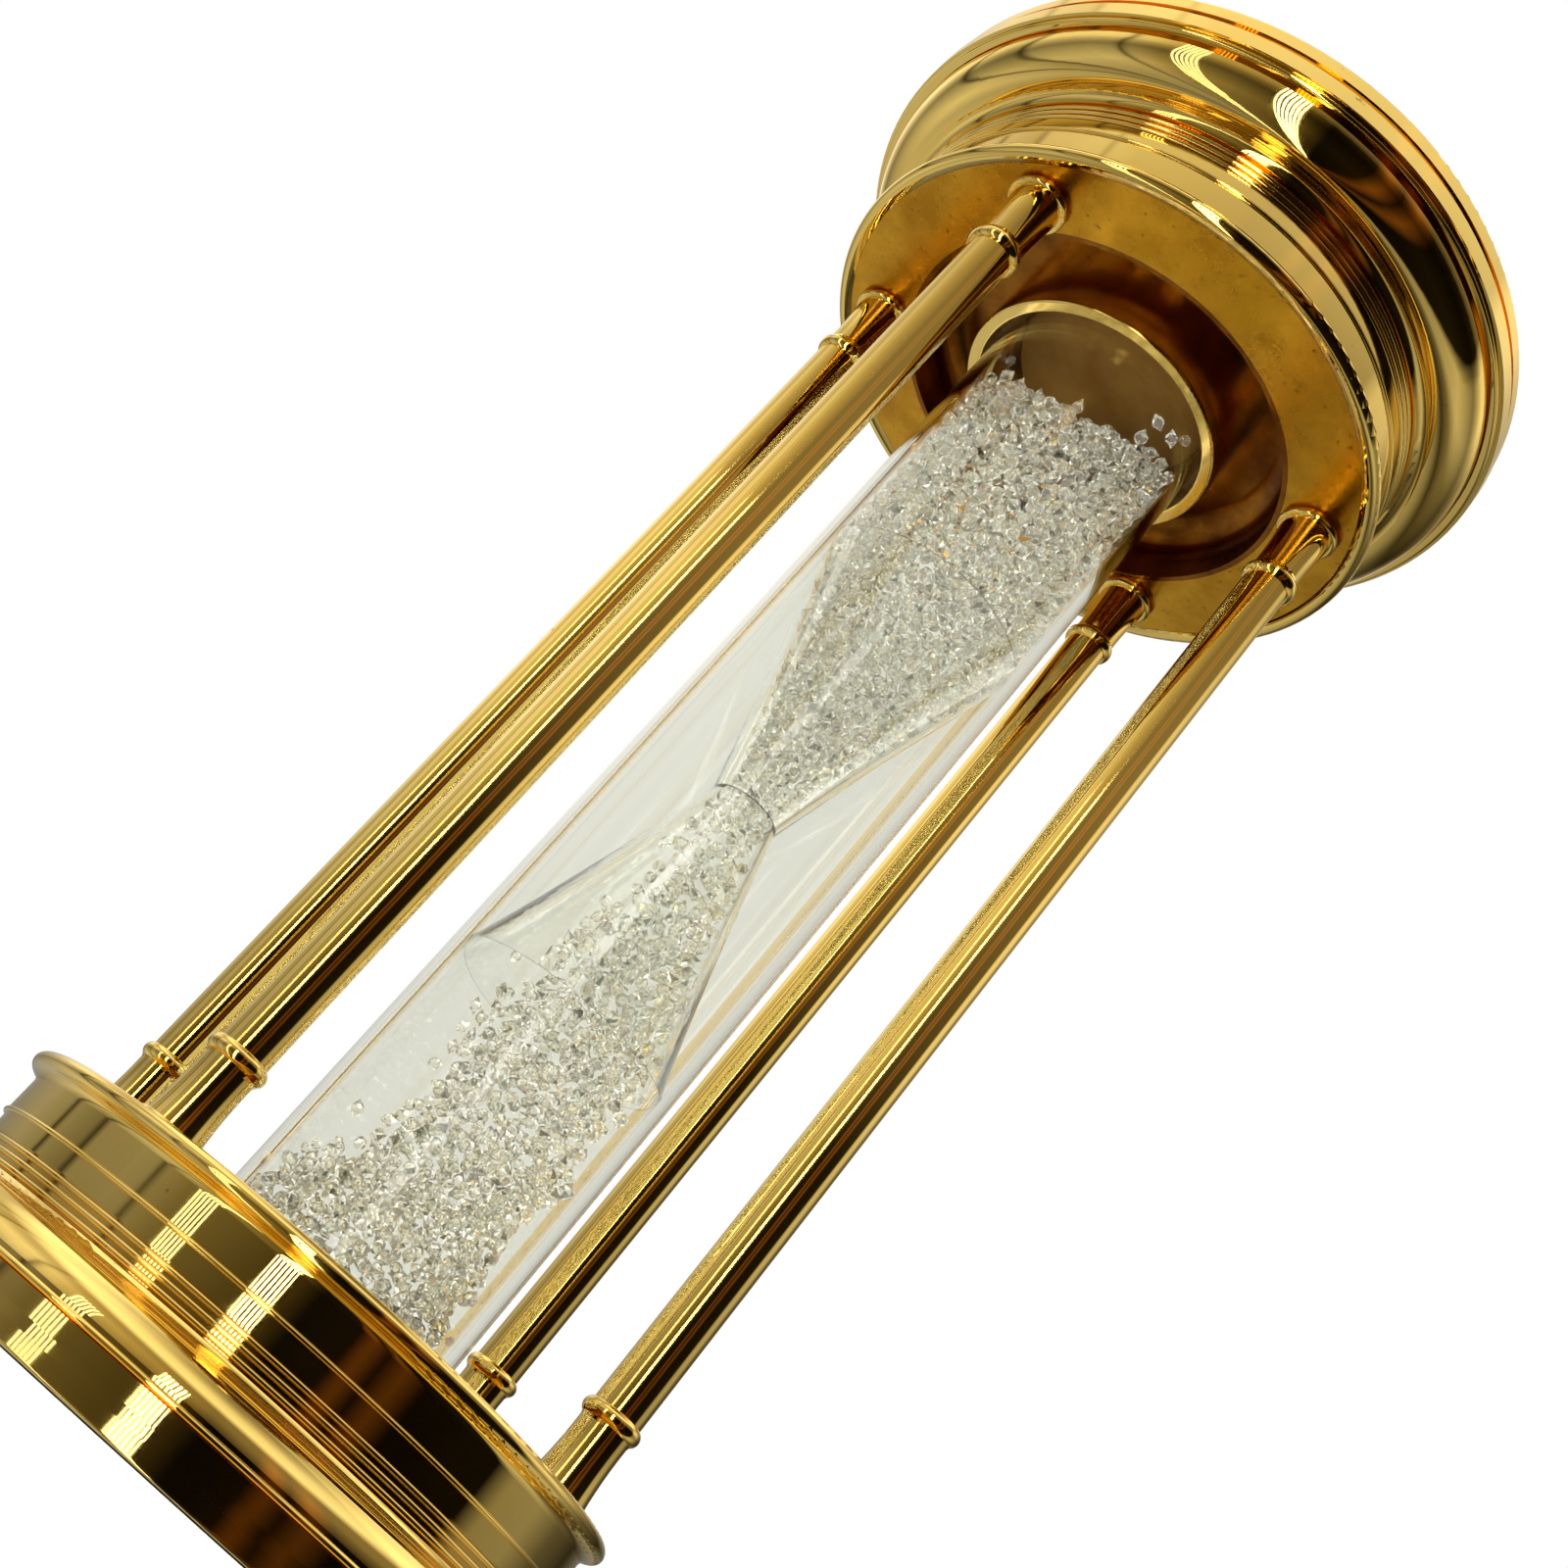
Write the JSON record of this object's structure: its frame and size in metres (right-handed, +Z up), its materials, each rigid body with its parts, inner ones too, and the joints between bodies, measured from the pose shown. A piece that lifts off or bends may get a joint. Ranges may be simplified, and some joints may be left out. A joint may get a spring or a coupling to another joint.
{
  "type": "hourglass",
  "caption": "Brass hourglass with turned end caps, posts in a rectangle and a straight clear tube with an inner double cone, filled with faceted crystals.",
  "frame": {"origin": "centre of the lower resting face, on the turning axis", "axes": "+Z up along the turning axis; the wide openings between the posts face -Y and +Y"},
  "size_m": [0.102, 0.102, 0.2206],
  "materials": {
    "polished_brass": "polished and lacquered",
    "satin_brass": "satin, lightly tarnished",
    "cup_brass": "satin, turned",
    "clear_glass": "clear polished glass",
    "crystal": "clear cut crystal",
    "felt": "pressed felt",
    "seat_rubber": "matte rubber",
    "plated_steel": "zinc plated"
  },
  "bodies": {
    "bottom_cover": {"bottom_end_cover": "polished_brass", "bottom_felt_pad": "felt"},
    "frame": {"bottom_cap_shell": "polished_brass", "bottom_collar": "polished_brass", "bottom_deck_plate": "satin_brass", "bottom_ferrule_1": "polished_brass", "bottom_ferrule_2": "polished_brass", "bottom_ferrule_3": "polished_brass", "bottom_ferrule_4": "polished_brass", "bottom_glass_cup": "cup_brass", "bottom_glass_end_disc": "clear_glass", "bottom_glass_gasket": "seat_rubber", "bottom_post_nuts": "plated_steel", "bottom_post_washers": "plated_steel", "glass_tube": "clear_glass", "lower_crystals": "crystal", "lower_funnel": "clear_glass", "post_rod_1": "polished_brass", "post_rod_2": "polished_brass", "post_rod_3": "polished_brass", "post_rod_4": "polished_brass", "top_cap_shell": "polished_brass", "top_collar": "polished_brass", "top_deck_plate": "satin_brass", "top_ferrule_1": "polished_brass", "top_ferrule_2": "polished_brass", "top_ferrule_3": "polished_brass", "top_ferrule_4": "polished_brass", "top_glass_cup": "cup_brass", "top_glass_end_disc": "clear_glass", "top_glass_gasket": "seat_rubber", "top_post_nuts": "plated_steel", "top_post_washers": "plated_steel", "upper_crystals": "crystal", "upper_funnel": "clear_glass"},
    "top_cover": {"top_end_cover": "polished_brass", "top_felt_pad": "felt"}
  },
  "joints": [
    {"name": "bottom_cover_release", "type": "slide", "parent": "bottom_cover", "child": "frame", "axis": [0, 0, 1], "range_m": [0, 0.012]},
    {"name": "top_cover_release", "type": "slide", "parent": "frame", "child": "top_cover", "axis": [0, 0, 1], "range_m": [0, 0.012]}
  ]
}
